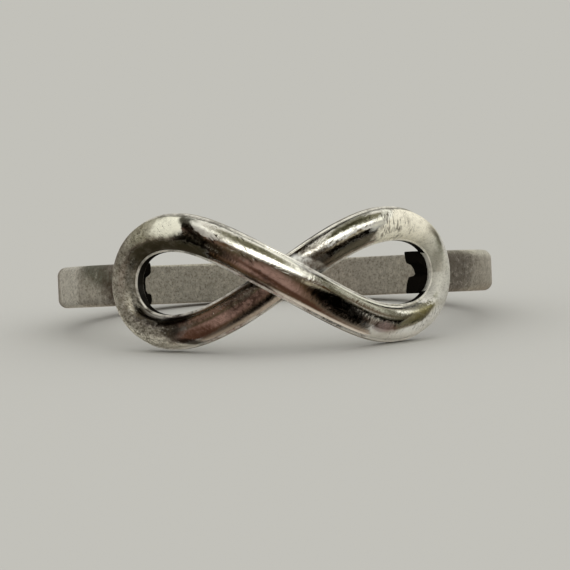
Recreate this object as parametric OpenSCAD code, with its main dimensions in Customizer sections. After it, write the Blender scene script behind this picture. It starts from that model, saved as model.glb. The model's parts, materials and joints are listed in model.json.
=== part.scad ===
// Infinity ring: an open band whose two ends carry a figure of eight of domed strand.
// All sizes are in millimetres and degrees.

/* [Finger] */
// Inside diameter of the band
finger_d = 17.3; // [16:0.1:22]

/* [Band] */
// Width of the band along the finger
band_w = 1.85; // [1.4:0.05:2.6]
// Thickness of the band
band_t = 1.25; // [1:0.05:1.8]
// Radius on the two outer corners of the band
band_corner_r = 0.4; // [0.1:0.05:0.5]
// Thickness left where the end of the band is filed flat under a loop
tongue_t = 0.75; // [0.6:0.05:0.95]
// How far the end of the band shows inside the eye of a loop
tongue_show = 0.2; // [0.05:0.05:0.6]

/* [Figure of eight] */
// Length along the curve, between the middle lines of the two outer ends
eight_l = 15.16; // [13:0.1:16]
// Height between the middle lines of the upper and lower runs
eight_h = 4.33; // [3.8:0.05:5.5]
// How far the loops are rounded out from the plain figure of eight
eight_roundness = 0.28; // [0:0.02:0.6]
// Clear height between the finger and the back of the strand
seat_h = 0.5; // [0.4:0.05:0.55]

/* [Strand] */
// Width of the strand
strand_w = 1.54; // [1.3:0.02:1.8]
// Height of the strand's upright sides, up from its flat back
strand_side_h = 0.5; // [0.35:0.05:0.8]
// Height of the dome above the sides
strand_dome_h = 0.72; // [0.5:0.02:1]

/* [Crossing] */
// How far both strands rise off the finger at the crossing
crossing_rise = 0.3; // [0:0.05:0.5]
// How far the over strand's back is above the under strand's back there: more than the
// dome, so that its rim is clear, and less than the whole strand, so that the two are fused
over_step = 0.85; // [0.75:0.05:1.1]
// How much wider the over strand is than the under strand, up to the ends of the loops
over_swell = 0.16; // [0:0.02:0.4]

/* [Loop ends] */
// How much slimmer the strand is at the outer end of the left loop
left_slim = 0.37; // [0:0.01:0.6]
// How much slimmer it is at the outer end of the right loop
right_slim = 0.65; // [0:0.01:0.7]
// How far outwards the middle of the strand moves there on the left loop
left_out = -0.06; // [-0.15:0.01:0.3]
// How far outwards it moves there on the right loop
right_out = 0.14; // [-0.15:0.01:0.3]
// How much lower the dome is worn at the outer end of the right loop
right_worn = 0.14; // [0:0.02:0.3]
// Course angle from there to where the strand is whole again
end_reach = 50; // [30:1:60]

/* [Hidden] */
$fn = 180;

// Radii, from the axis of the finger
finger_r = finger_d/2;
band_r = finger_r + band_t;
back_r = finger_r + seat_h;
side_r = back_r + strand_side_h;

// Stations along half the eight, and steps across the dome
STATIONS = 60;
DOME_STEPS = 12;

// Beyond this cosine of the course angle the strand is plain: the top of each loop
plain_cos = sqrt((1 + eight_roundness)/(2 + eight_roundness));

// The ends of the band, and the middle of the outer end of a loop, as angles round the finger
function arc(length) = length/side_r*180/PI;
band_end_a = arc(eight_l/2 - strand_w/2 - tongue_show);
loop_end_a = arc(eight_l/2);

// How near course angle t is to the outer end of its loop: 1 there and 0 past end_reach.
// From 0 to 180 it is the under strand and from 180 to 360 the over strand.
function endness(t) = pow(max(0, 1 - pow(sin(t)/sin(end_reach), 2)), 2);
function is_right(t) = cos(t) > 0 ? 1 : 0;

// Middle line of the eight at t, as [length round the finger, height along it]
function course(t) =
    let (slow = 1 + eight_roundness*pow(sin(t), 2))
    [eight_l/2*cos(t)/slow + endness(t)*(is_right(t) ? right_out : -left_out),
     eight_h*sqrt(1 + eight_roundness)*sin(t)*cos(t)/slow];

// Unit vector across the strand at t
function across(t) =
    let (along = course(t + 0.01) - course(t - 0.01))
    [-along.y, along.x]/norm(along);

// How near t is to the crossing: 1 there and 0 on the loops
function nearness(t) = pow(max(0, 1 - pow(cos(t)/plain_cos, 2)), 2);
function is_over(t) = sin(t) < 0 ? 1 : 0;
function lift(t) = nearness(t)*(crossing_rise + over_step*is_over(t));
function width(t) = strand_w + over_swell*is_over(t)*(1 - pow(cos(t), 8))
    - endness(t)*(is_right(t) ? right_slim : left_slim);
function dome_h(t) = strand_dome_h - right_worn*endness(t)*is_right(t);

// Section of the strand at t, as [place across it from -1 to 1, height above its back]
function section(t) = concat(
    [[-1, 0], [1, 0]],
    [for (i = [0:DOME_STEPS]) let (a = 180*i/DOME_STEPS) [cos(a), strand_side_h + dome_h(t)*sin(a)]]);

// A point at a length round the finger and a height along it, at a radius from the axis
function wrap(flat, radius) =
    let (a = arc(flat.x))
    [radius*sin(a), -radius*cos(a), flat.y];

// The points of the strand's section at t
function ring_of_points(t) = [
    for (p = section(t)) wrap(course(t) + across(t)*p.x*width(t)/2, back_r + lift(t) + p.y)];

// How the ring lies on its side: on the lower run of each loop, and on the lower outer
// corner of the back of the band
strand_points = [for (i = [0:2*STATIONS - 1]) each ring_of_points(180*i/STATIONS)];
corner_y = band_r - band_corner_r;
corner_z = band_w/2 - band_corner_r;

// Slope of the floor that runs through a point and just meets that corner
function floor_slope(p) =
    let (dy = corner_y - p.y, dz = -corner_z - p.z)
    atan2(dz, dy) - asin(band_corner_r/norm([dy, dz]));
rest_tilt = max([for (p = strand_points) floor_slope(p)]);

// Where the middle of the band is above the floor, and behind the middle of the whole ring
rest_z = -min([for (p = strand_points) p.z*cos(rest_tilt) - p.y*sin(rest_tilt)]);
front_y = min([for (p = strand_points) p.y*cos(rest_tilt) + p.z*sin(rest_tilt)]);
back_y = corner_y*cos(rest_tilt) + corner_z*sin(rest_tilt) + band_corner_r;
rest_y = -(front_y + back_y)/2;

// Section of the band, drawn from its inside wall outwards
module band_section() {
    translate([finger_r, -band_w/2])
        square([band_t - band_corner_r, band_w]);
    translate([finger_r, -corner_z])
        square([band_t, 2*corner_z]);
    for (side = [-1, 1])
        translate([corner_y, side*corner_z])
            circle(r = band_corner_r);
}

// The band, open at the front, with a flat filed on each end for the loop to sit on
module band() {
    difference() {
        rotate([0, 0, band_end_a - 90])
            rotate_extrude(angle = 360 - 2*band_end_a)
                band_section();
        for (side = [-1, 1])
            rotate([0, 0, side*loop_end_a - 90])
                translate([finger_r + tongue_t, -band_r/2, -band_w])
                    cube([band_r, band_r, 2*band_w]);
    }
}

// Half of the eight: the strand from course angle t_start over the next 180 degrees
module strand(t_start) {
    n = len(section(t_start));
    points = [for (i = [0:STATIONS]) each ring_of_points(t_start + 180*i/STATIONS)];
    sides = [
        for (i = [0:STATIONS - 1]) for (j = [0:n - 1])
            let (a = i*n + j, b = i*n + (j + 1)%n)
            each [[a, a + n, b + n], [a, b + n, b]]];
    start_cap = [[for (j = [0:n - 1]) j]];
    end_cap = [[for (j = [n - 1:-1:0]) STATIONS*n + j]];
    polyhedron(points, concat(start_cap, sides, end_cap));
}

// The whole ring, soldered into one piece, as it rests on its side
module infinity_ring() {
    color("silver")
        translate([0, rest_y, rest_z])
            rotate([-rest_tilt, 0, 0]) {
                band();
                strand(0);
                strand(180);
            }
}

infinity_ring();
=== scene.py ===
"""An infinity ring in worn silver, lying on its side on a pale table.

The ring is one soldered piece. A flat shank, open at the front, carries a figure of eight of
domed strand: its loops sit on flats filed on the shank's ends. The eight is modelled flat and
then bent round the finger, as a goldsmith forms it on a mandrel.

Lengths are in metres. A piece is modelled upright, with the finger's axis on Z and the front
towards -Y, and is then laid down as the CAD model lies.
"""

import json
import logging
import math
from dataclasses import dataclass, field
from enum import Enum
from typing import Callable

import bmesh
import bpy
from mathutils import Matrix, Vector
from mathutils.bvhtree import BVHTree


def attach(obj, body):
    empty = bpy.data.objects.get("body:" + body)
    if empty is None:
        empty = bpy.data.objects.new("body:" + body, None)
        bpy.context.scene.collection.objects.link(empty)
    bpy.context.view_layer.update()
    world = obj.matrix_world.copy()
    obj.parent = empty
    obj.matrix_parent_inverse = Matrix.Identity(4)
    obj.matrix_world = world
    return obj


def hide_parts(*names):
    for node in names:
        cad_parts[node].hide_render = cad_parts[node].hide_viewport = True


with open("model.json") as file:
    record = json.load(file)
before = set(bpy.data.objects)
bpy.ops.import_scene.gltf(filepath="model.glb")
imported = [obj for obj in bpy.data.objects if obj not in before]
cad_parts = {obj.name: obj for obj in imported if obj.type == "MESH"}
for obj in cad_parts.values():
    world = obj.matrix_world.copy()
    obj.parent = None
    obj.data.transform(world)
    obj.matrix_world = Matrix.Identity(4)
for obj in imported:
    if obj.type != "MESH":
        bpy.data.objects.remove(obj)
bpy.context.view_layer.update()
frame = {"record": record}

MM = 0.001
NODE = "infinity_ring"
BODY = "root"
log = logging.getLogger("infinity_ring")

Socket = bpy.types.NodeSocket
Sockets = bpy.types.bpy_prop_collection
Colour = tuple[float, float, float]
Pair = tuple[float, float]

# Points nearer to each other than this are one point.
MERGE = 0.001*MM
# Half the step of the course angle over which its heading is taken
HEADING_STEP = 1e-4
# A change of size less than this share is none.
SAME_SIZE = 1e-9


# ---------------------------------------------------------------- hand tools


class Side(Enum):
    """The two ends of the shank, as seen from the front."""

    LEFT = -1
    RIGHT = 1


def deselect() -> None:
    """Leaves nothing selected, so that the next operator acts on its own piece alone."""
    bpy.ops.object.select_all(action="DESELECT")


def open_mesh(piece: bpy.types.Object) -> None:
    """Opens a piece in edit mode, with nothing else selected.

    Args:
        piece: The piece to open.
    """
    deselect()
    bpy.context.view_layer.objects.active = piece
    piece.select_set(True)
    bpy.ops.object.mode_set(mode="EDIT")


def close_mesh() -> None:
    """Leaves edit mode."""
    bpy.ops.object.mode_set(mode="OBJECT")


def turn(angle: float, axis: str, centre: Vector = Vector()) -> None:
    """Turns what is selected, right-handed, about an axis through a point.

    Args:
        angle: How far, in radians.
        axis: "X", "Y" or "Z".
        centre: A point on the axis.
    """
    # With no window the operator turns the other way.
    bpy.ops.transform.rotate(value=-angle, orient_axis=axis, center_override=centre)


def select_points(piece: bpy.types.Object, wanted: Callable[[Vector], bool]) -> None:
    """Selects the points of an open mesh that pass a test, and nothing else.

    Args:
        piece: The piece, in edit mode.
        wanted: Takes a point's place and says whether it is wanted.
    """
    bpy.ops.mesh.select_mode(type="VERT")
    bpy.ops.mesh.select_all(action="DESELECT")
    mesh = bmesh.from_edit_mesh(piece.data)
    for vertex in mesh.verts:
        vertex.select_set(wanted(vertex.co))
    bmesh.update_edit_mesh(piece.data)


def weld() -> None:
    """Merges the doubles of the open mesh and turns its faces outwards."""
    bpy.ops.mesh.select_all(action="SELECT")
    bpy.ops.mesh.remove_doubles(threshold=MERGE)
    bpy.ops.mesh.normals_make_consistent(inside=False)


def quarter_turn(steps: int) -> list[float]:
    """The angles from 0 to a quarter of a turn, in equal steps."""
    return [math.pi/2*i/steps for i in range(steps + 1)]


def apply_modifier(piece: bpy.types.Object, name: str, kind: str, **settings: object) -> None:
    """Adds a modifier to a piece, sets it and applies it.

    Args:
        piece: The piece.
        name: The modifier's name.
        kind: Its type.
        settings: Its settings, by name.
    """
    modifier = piece.modifiers.new(name, kind)
    for key, value in settings.items():
        setattr(modifier, key, value)
    bpy.context.view_layer.objects.active = piece
    bpy.ops.object.modifier_apply(modifier=name)


# ---------------------------------------------------------------- the ring's shape


@dataclass(frozen=True)
class RestPose:
    """How the ring lies on its side, read from the CAD model's finger bore."""

    centre: Vector
    axis: Vector
    bore_r: float

    @classmethod
    def from_record(cls, record: dict) -> "RestPose":
        """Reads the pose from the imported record's finger bore."""
        bore = next(mount for mount in record["mounts"] if mount["name"] == "finger_bore")
        return cls(Vector(bore["pos_m"]), Vector(bore["axis"]), bore["dims"]["r_mm"]*MM)

    def tilt(self) -> float:
        """How far the ring's axis leans from upright, in radians."""
        return math.atan2(self.axis.y, self.axis.z)

    def matrix(self) -> Matrix:
        """Takes the upright ring to its place on the table."""
        return Matrix.Translation(self.centre) @ Matrix.Rotation(-self.tilt(), 4, "X")


@dataclass(frozen=True)
class Course:
    """The middle line of the figure of eight, flat, by a course angle of 0 to 2 pi.

    The under strand takes the first half turn and the over strand the second.
    """

    length: float = 15.16*MM
    height: float = 4.33*MM
    roundness: float = 0.28
    rise: float = 0.3*MM
    over_step: float = 0.85*MM
    swell: float = 0.16*MM
    end_reach: float = math.radians(50)
    left_slim: float = 0.37*MM
    right_slim: float = 0.65*MM
    left_out: float = -0.06*MM
    right_out: float = 0.14*MM
    right_worn: float = 0.14*MM

    def point(self, t: float) -> Vector:
        """The middle line's point at t: X runs round the finger and Z along it.

        Args:
            t: How far along the course, in radians, with 2*pi for the whole run.

        Returns:
            The point, which stands out from the finger towards -Y.
        """
        slow = 1 + self.roundness*math.sin(t)**2
        across = self.height*math.sqrt(1 + self.roundness)
        out = self.nearness(t)*(self.rise + self.over_step*self.is_over(t))
        shift = self.endness(t)*(self.right_out if self.is_right(t) else -self.left_out)
        round_finger = self.length/2*math.cos(t)/slow + shift
        return Vector((round_finger, -out, across*math.sin(t)*math.cos(t)/slow))

    def heading(self, t: float) -> float:
        """The direction of travel at t, as an angle from X towards Z."""
        step = self.point(t + HEADING_STEP) - self.point(t - HEADING_STEP)
        return math.atan2(step.z, step.x)

    def wider(self, t: float) -> float:
        """How much wider the strand is at t than plain: less than 0 on the loops' ends."""
        slim = self.right_slim if self.is_right(t) else self.left_slim
        return self.swell*self.is_over(t)*(1 - math.cos(t)**8) - slim*self.endness(t)

    def lower(self, t: float) -> float:
        """How much lower the dome is at t, worn at the right end."""
        return self.right_worn*self.endness(t)*self.is_right(t)

    def endness(self, t: float) -> float:
        """How near t is to the outer end of its loop: 1 there and 0 past the reach."""
        return max(0.0, 1 - (math.sin(t)/math.sin(self.end_reach))**2)**2

    def is_right(self, t: float) -> bool:
        """Whether t is on the right loop."""
        return math.cos(t) > 0

    def is_over(self, t: float) -> bool:
        """Whether t is on the over strand."""
        return math.sin(t) < 0

    def nearness(self, t: float) -> float:
        """How near t is to the crossing: 1 there and 0 on the loops."""
        plain = math.sqrt((1 + self.roundness)/(2 + self.roundness))
        return max(0.0, 1 - (math.cos(t)/plain)**2)**2


@dataclass(frozen=True)
class StrandSection:
    """The section of the strand: a flat back, upright sides, a fine rim and a dome.

    The dome starts a little above the rim, and further in by a share of the rim's radius.
    """

    width: float = 1.54*MM
    side: float = 0.5*MM
    dome: float = 0.72*MM
    rim_r: float = 0.075*MM
    back_r: float = 0.09*MM
    dome_foot: float = 0.004*MM
    dome_inset: float = 1.15
    dome_steps: int = 26
    arc_steps: int = 4

    def half(self) -> list[Pair]:
        """The outline's right half, from the middle of the back to the crest.

        Returns:
            Points as (place across, height above the widest level).
        """
        right = self.width/2
        corner = quarter_turn(self.arc_steps)
        points = [(0.0, -self.side), (right/2, -self.side)]
        points += [(right - self.back_r*(1 - math.sin(a)),
                    -self.side + self.back_r*(1 - math.cos(a))) for a in corner]
        points += [(right - self.rim_r*(1 - math.cos(a)), -self.rim_r*(1 - math.sin(a)))
                   for a in corner]
        reach, rise = right - self.rim_r*self.dome_inset, self.dome - self.dome_foot
        points += [(reach*math.cos(a), self.dome_foot + rise*math.sin(a))
                   for a in quarter_turn(self.dome_steps//2)]
        return points

    def outline(self) -> list[Pair]:
        """The whole closed outline, from the middle of the back round to it again."""
        right = self.half()
        return right + [(-q, h) for q, h in reversed(right[1:-1])]


@dataclass
class FigureOfEight:
    """The domed strand, laid out flat as a closed loop and bent round the finger."""

    wrap_r: float
    course: Course = field(default_factory=Course)
    section: StrandSection = field(default_factory=StrandSection)
    stations: int = 264

    def build(self) -> bpy.types.Object:
        """Models the strand.

        Returns:
            The closed strand, upright, overlapping itself at the crossing.
        """
        piece = self.first_section()
        self.sweep(piece)
        self.wrap(piece)
        return piece

    def first_section(self) -> bpy.types.Object:
        """Adds a circle and shapes it into the strand's section at the start of the course.

        Returns:
            The new piece, which holds the section alone.
        """
        outline = self.section.outline()
        deselect()
        bpy.ops.mesh.primitive_circle_add(vertices=len(outline), radius=self.section.width/2,
                                          fill_type="NOTHING")
        piece = bpy.context.object
        piece.name = "figure_of_eight"
        start, heading = self.course.point(0), self.course.heading(0)
        across = Vector((-math.sin(heading), 0, math.cos(heading)))*self.width(0)/self.section.width
        for vertex, (q, h) in zip(piece.data.vertices, outline):
            vertex.co = start + across*q - Vector((0, h*self.height(0), 0))
        return piece

    def sweep(self, piece: bpy.types.Object) -> None:
        """Extrudes the section once round the course, and joins its end to its start.

        Args:
            piece: The piece with the first section.
        """
        open_mesh(piece)
        bpy.ops.mesh.select_all(action="SELECT")
        angles = [2*math.pi*i/self.stations for i in range(self.stations + 1)]
        for before, after in zip(angles, angles[1:]):
            here, there = self.course.point(before), self.course.point(after)
            bpy.ops.mesh.extrude_edges_move(TRANSFORM_OT_translate={"value": there - here})
            bend = self.course.heading(after) - self.course.heading(before)
            bend = (bend + math.pi) % (2*math.pi) - math.pi
            turn(-bend, "Y", there)
            wider = self.width(after)/self.width(before)
            taller = self.height(after)/self.height(before)
            if abs(wider - 1) + abs(taller - 1) > SAME_SIZE:
                bpy.ops.transform.resize(value=(wider, taller, wider), center_override=there)
        close_mesh()
        self.mark(piece)
        open_mesh(piece)
        weld()
        close_mesh()

    def mark(self, piece: bpy.types.Object) -> None:
        """Stores where each point is on the strand, for the finishes.

        The marks are its place across from -1 to 1, its height above the widest level in
        millimetres, and a value that is positive on the over strand alone.

        Args:
            piece: The swept strand.
        """
        outline = self.section.outline()
        stations = [-math.sin(2*math.pi*i/self.stations) for i in range(self.stations + 1)]
        marks = {"across": [2*q/self.section.width for _ in stations for q, h in outline],
                 "height": [h/MM for _ in stations for q, h in outline],
                 "over": [over for over in stations for _ in outline]}
        for name, values in marks.items():
            piece.data.attributes.new(name, "FLOAT", "POINT").data.foreach_set("value", values)

    def width(self, t: float) -> float:
        """The strand's width at t."""
        return self.section.width + self.course.wider(t)

    def height(self, t: float) -> float:
        """The strand's height at t, as a share of its whole height."""
        return 1 - self.course.lower(t)/self.section.dome

    def wrap(self, piece: bpy.types.Object) -> None:
        """Bends the flat eight round the finger, with its widest level at the wrap radius.

        Args:
            piece: The flat figure of eight.
        """
        across = [vertex.co.x for vertex in piece.data.vertices]
        apply_modifier(piece, "mandrel", "SIMPLE_DEFORM", deform_method="BEND", deform_axis="Z",
                       angle=(max(across) - min(across))/self.wrap_r)
        piece.data.transform(Matrix.Translation((0, -self.wrap_r, 0)))


@dataclass(frozen=True)
class SawnEnd:
    """The ragged end of the shank that shows in the eye of a loop.

    The line runs down the end, as (height, how far the end is cut back there).
    """

    side: Side
    line: tuple[Pair, ...]

    @classmethod
    def left(cls) -> "SawnEnd":
        """The left end: two square teeth with one wide notch between them.

        Returns:
            The end on the left.
        """
        return cls(Side.LEFT, (
            (0.95, 0.37), (0.75, 0.34), (0.49, 0.35), (0.38, 0.45), (0.27, 0.66), (0.10, 0.70),
            (-0.30, 0.68), (-0.42, 0.60), (-0.48, 0.38), (-0.70, 0.35), (-0.95, 0.40)))

    @classmethod
    def right(cls) -> "SawnEnd":
        """The right end: it shows more, and its notch is deeper and slopes.

        Returns:
            The end on the right.
        """
        return cls(Side.RIGHT, (
            (0.95, 0.02), (0.80, 0.05), (0.50, 0.10), (0.42, 0.16), (0.33, 0.42), (0.15, 0.58),
            (-0.07, 0.66), (-0.15, 0.55), (-0.20, 0.25), (-0.35, 0.17), (-0.55, 0.10),
            (-0.95, 0.03)))


@dataclass
class Shank:
    """The flat band, open at the front, with a flat filed on each end."""

    bore_r: float
    width: float = 1.85*MM
    thickness: float = 1.25*MM
    outer_corner_r: float = 0.4*MM
    inner_corner_r: float = 0.12*MM
    corner_steps: int = 8
    tongue: float = 0.75*MM
    flat_blend: float = 0.06*MM
    least_cosine: float = 0.2
    end_angle: float = math.radians(38.9)
    loop_angle: float = math.radians(45.0)
    steps: int = 220
    ends: tuple[SawnEnd, ...] = (SawnEnd.left(), SawnEnd.right())

    def build(self) -> bpy.types.Object:
        """Models the shank.

        Returns:
            The shank, upright.
        """
        piece = self.section()
        self.bend_round(piece)
        self.file_flats(piece)
        for end in self.ends:
            self.saw(piece, end)
        return piece

    def section(self) -> bpy.types.Object:
        """Draws the band's section, outer side to the right, and rounds its corners.

        Returns:
            The new piece, which holds the section alone.
        """
        deselect()
        bpy.ops.mesh.primitive_plane_add(size=1)
        piece = bpy.context.object
        piece.name = "shank"
        open_mesh(piece)
        bpy.ops.mesh.select_all(action="SELECT")
        bpy.ops.transform.resize(value=(self.thickness, self.width, 1))
        for outward, radius in ((1, self.outer_corner_r), (-1, self.inner_corner_r)):
            select_points(piece, lambda point, outward=outward: point.x*outward > 0
                          and abs(point.y) > self.width/2 - MERGE)
            bpy.ops.mesh.bevel(offset=radius, segments=self.corner_steps, affect="VERTICES")
        close_mesh()
        return piece

    def bend_round(self, piece: bpy.types.Object) -> None:
        """Spins the section round the finger, leaving the front open.

        Args:
            piece: The piece with the band's section.
        """
        open_mesh(piece)
        bpy.ops.mesh.select_all(action="SELECT")
        turn(math.pi/2, "X")
        bpy.ops.transform.translate(value=(self.bore_r + self.thickness/2, 0, 0))
        turn(self.end_angle - math.pi/2, "Z")
        bpy.ops.mesh.spin(steps=self.steps, angle=2*math.pi - 2*self.end_angle,
                          center=(0, 0, 0), axis=(0, 0, -1))
        weld()
        close_mesh()

    def file_flats(self, piece: bpy.types.Object) -> None:
        """Thins each end to the flat that a loop sits on, which runs out softly into the band.

        Args:
            piece: The band, bent round.
        """
        for vertex in piece.data.vertices:
            radius = vertex.co.xy.length
            angle = abs(math.atan2(vertex.co.x, -vertex.co.y))
            # Behind the finger the flat is nowhere near, and the limit keeps it there.
            cosine = max(self.least_cosine, math.cos(angle - self.loop_angle))
            flat = (self.bore_r + self.tongue)/cosine - self.bore_r
            blend = max(0.0, 1 - abs(flat - self.thickness)/self.flat_blend)
            left = min(flat, self.thickness) - blend*blend*self.flat_blend/4
            filed = self.bore_r + (radius - self.bore_r)*left/self.thickness
            vertex.co.xy *= filed/radius

    def saw(self, piece: bpy.types.Object, end: SawnEnd) -> None:
        """Cuts an end back along its ragged line.

        Args:
            piece: The shank.
            end: The end to cut, and its line.
        """
        # In millimetres: where the blade starts beyond the end, and half its height
        past, top = -0.5, 1.2
        outline = [(top, past), (top, end.line[0][1]), *end.line, (-top, end.line[-1][1]),
                   (-top, past)]
        outside, depth = self.bore_r + 1.2*self.thickness, 2*self.thickness
        deselect()
        bpy.ops.mesh.primitive_circle_add(vertices=len(outline), radius=self.width,
                                          fill_type="NGON")
        blade = bpy.context.object
        for vertex, (height, cut_back) in zip(blade.data.vertices, outline):
            vertex.co = Vector((end.side.value*cut_back*MM, -outside, height*MM))
        open_mesh(blade)
        bpy.ops.mesh.select_all(action="SELECT")
        bpy.ops.mesh.extrude_region_move(TRANSFORM_OT_translate={"value": (0, depth, 0)})
        bpy.ops.mesh.select_all(action="SELECT")
        turn(end.side.value*self.end_angle, "Z")
        bpy.ops.mesh.normals_make_consistent(inside=False)
        close_mesh()
        apply_modifier(piece, "saw", "BOOLEAN", operation="DIFFERENCE", object=blade,
                       solver="EXACT")
        bpy.data.objects.remove(blade)


@dataclass
class InfinityRing:
    """The whole ring: the eight soldered onto the shank, laid on its side and dressed."""

    pose: RestPose
    seat: float = 0.5*MM
    occlusion_rays: int = 40
    occlusion_reach: float = 1.6*MM
    occlusion_lift: float = 0.01*MM
    smooth_angle: float = math.radians(32)

    def build(self) -> bpy.types.Object:
        """Models and dresses the ring.

        Returns:
            The finished ring, in its place on the table.
        """
        section = StrandSection()
        eight = FigureOfEight(self.pose.bore_r + self.seat + section.side, section=section)
        strand = eight.build()
        log.info("figure of eight: %d faces", len(strand.data.polygons))
        shank = Shank(self.pose.bore_r).build()
        log.info("shank: %d faces", len(shank.data.polygons))
        self.dress(shank, strand)
        ring = self.solder(shank, strand)
        self.lay_down(ring)
        self.mark_recesses(ring)
        return ring

    def dress(self, shank: bpy.types.Object, strand: bpy.types.Object) -> None:
        """Gives each part its silver before they are joined."""
        shank.data.materials.append(SHANK_SILVER.material())
        strand.data.materials.append(STRAND_SILVER.material())

    def solder(self, shank: bpy.types.Object, strand: bpy.types.Object) -> bpy.types.Object:
        """Joins the strand to itself and to the shank, as one closed skin.

        Args:
            shank: The shank.
            strand: The figure of eight.

        Returns:
            The joined ring.
        """
        apply_modifier(strand, "solder", "BOOLEAN", operation="UNION", object=shank, solver="EXACT",
                       use_self=True, material_mode="TRANSFER")
        bpy.data.objects.remove(shank)
        strand.name = "silver_ring"
        return strand

    def lay_down(self, ring: bpy.types.Object) -> None:
        """Lays the ring on its side and smooths its curved faces.

        Args:
            ring: The whole ring.
        """
        ring.data.transform(self.pose.matrix())
        deselect()
        ring.select_set(True)
        bpy.context.view_layer.objects.active = ring
        bpy.ops.object.shade_smooth_by_angle(angle=self.smooth_angle)

    def mark_recesses(self, ring: bpy.types.Object) -> None:
        """Stores how hidden each point of the surface is, for the tarnish that polishing misses.

        Args:
            ring: The whole ring.
        """
        mesh = ring.data
        tree = BVHTree.FromPolygons([vertex.co[:] for vertex in mesh.vertices],
                                    [polygon.vertices[:] for polygon in mesh.polygons])
        golden = math.pi*(3 - math.sqrt(5))
        rays = []
        for i in range(self.occlusion_rays):
            height = math.sqrt(1 - (i + 0.5)/self.occlusion_rays)
            flat = math.sqrt(1 - height*height)
            rays.append(Vector((flat*math.cos(golden*i), flat*math.sin(golden*i), height)))
        hidden = []
        for vertex in mesh.vertices:
            outwards = vertex.normal.to_track_quat("Z", "Y")
            start = vertex.co + vertex.normal*self.occlusion_lift
            hits = sum(tree.ray_cast(start, outwards @ ray, self.occlusion_reach)[0] is not None
                       for ray in rays)
            hidden.append(hits/self.occlusion_rays)
        mesh.attributes.new("recess", "FLOAT", "POINT").data.foreach_set("value", hidden)


# ---------------------------------------------------------------- node trees


class Graph:
    """A node tree that is written as short calls.

    Where a call takes a value, it takes a number or the socket that gives one.
    """

    def __init__(self, tree: bpy.types.NodeTree) -> None:
        """Starts on a tree."""
        self.tree = tree

    def node(self, kind: str, inputs: dict | None = None, **settings: object) -> bpy.types.Node:
        """Adds a node.

        Args:
            kind: The node's type.
            inputs: Values or sockets for its inputs, by name or number.
            settings: Its own settings, by name.

        Returns:
            The node.
        """
        made = self.tree.nodes.new(kind)
        for key, value in settings.items():
            setattr(made, key, value)
        for key, value in (inputs or {}).items():
            socket = made.inputs[key]
            if isinstance(value, Socket):
                self.tree.links.new(value, socket)
            else:
                socket.default_value = value
        return made

    def math(self, operation: str, *values: object) -> Socket:
        """Adds a Math node and returns its result."""
        return self.node("ShaderNodeMath", dict(enumerate(values)), operation=operation).outputs[0]

    def plus(self, first: object, second: object) -> Socket:
        """Adds two values."""
        return self.math("ADD", first, second)

    def minus(self, first: object, second: object) -> Socket:
        """Takes the second value from the first."""
        return self.math("SUBTRACT", first, second)

    def times(self, first: object, second: object) -> Socket:
        """Multiplies two values."""
        return self.math("MULTIPLY", first, second)

    def greater(self, first: object, second: object) -> Socket:
        """Gives the greater of two values."""
        return self.math("MAXIMUM", first, second)

    def ramp(self, value: object, low: object, high: object, start: float = 0.0,
             end: float = 1.0) -> Socket:
        """Maps a value from low..high softly to start..end, and returns the result."""
        return self.node("ShaderNodeMapRange", {0: value, 1: low, 2: high, 3: start, 4: end},
                         interpolation_type="SMOOTHSTEP").outputs[0]

    def mix(self, factor: object, first: object, second: object) -> Socket:
        """Mixes two colours, each a socket or three numbers, and returns the result."""
        return self.node("ShaderNodeMix", {0: factor, 6: opaque(first), 7: opaque(second)},
                         data_type="RGBA").outputs[2]

    def mix_value(self, factor: object, first: object, second: object) -> Socket:
        """Mixes two values and returns the result."""
        return self.node("ShaderNodeMix", {0: factor, 2: first, 3: second},
                         data_type="FLOAT").outputs[0]

    def vector(self, operation: str, first: object, second: object) -> Socket:
        """Adds a Vector Math node and returns its vector."""
        return self.node("ShaderNodeVectorMath", {0: first, 1: second},
                         operation=operation).outputs[0]

    def length(self, vector: Socket) -> Socket:
        """Gives the length of a vector."""
        return self.node("ShaderNodeVectorMath", {0: vector}, operation="LENGTH").outputs["Value"]

    def parts(self, vector: Socket) -> Sockets:
        """Gives the X, Y and Z of a vector."""
        return self.node("ShaderNodeSeparateXYZ", {0: vector}).outputs

    def join(self, x: object, y: object, z: object = 0.0) -> Socket:
        """Makes a vector of three values."""
        return self.node("ShaderNodeCombineXYZ", {0: x, 1: y, 2: z}).outputs[0]

    def turned(self, vector: Socket, angle: object) -> Socket:
        """Turns a vector about Y, which points out of the surface laid flat."""
        return self.node("ShaderNodeVectorRotate", {"Vector": vector, "Axis": (0, 1, 0),
                                                    "Angle": angle}).outputs[0]

    def noise(self, vector: Socket, scale: float, detail: float = 3.0,
              roughness: float = 0.55) -> Socket:
        """Adds a noise texture and returns its value."""
        return self.node("ShaderNodeTexNoise", {"Vector": vector, "Scale": scale, "Detail": detail,
                                                "Roughness": roughness}).outputs[0]

    def streaks(self, vector: Socket, stretch: tuple[float, float, float],
                roughness: float = 0.55) -> Socket:
        """Adds noise that is drawn out along the axes of least stretch."""
        return self.noise(self.vector("MULTIPLY", vector, stretch), 1.0, roughness=roughness)

    def jag(self, vector: Socket, scale: float, roughness: float, amount: object) -> Socket:
        """Adds noise of half an amount either way, which makes an edge ragged."""
        noise = self.noise(vector, scale, 5.0, roughness)
        return self.times(self.minus(noise, 0.5), amount)

    def effect(self, effect: "Effect", inputs: dict[str, object]) -> Socket:
        """Places the node group of an effect and returns its mask."""
        return self.node("ShaderNodeGroup", inputs, node_tree=effect_group(effect)).outputs["Mask"]

    def give(self, mask: Socket) -> bpy.types.NodeTree:
        """Ends a node group on its mask, and returns the group."""
        self.node("NodeGroupOutput", {"Mask": mask})
        return self.tree


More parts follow.
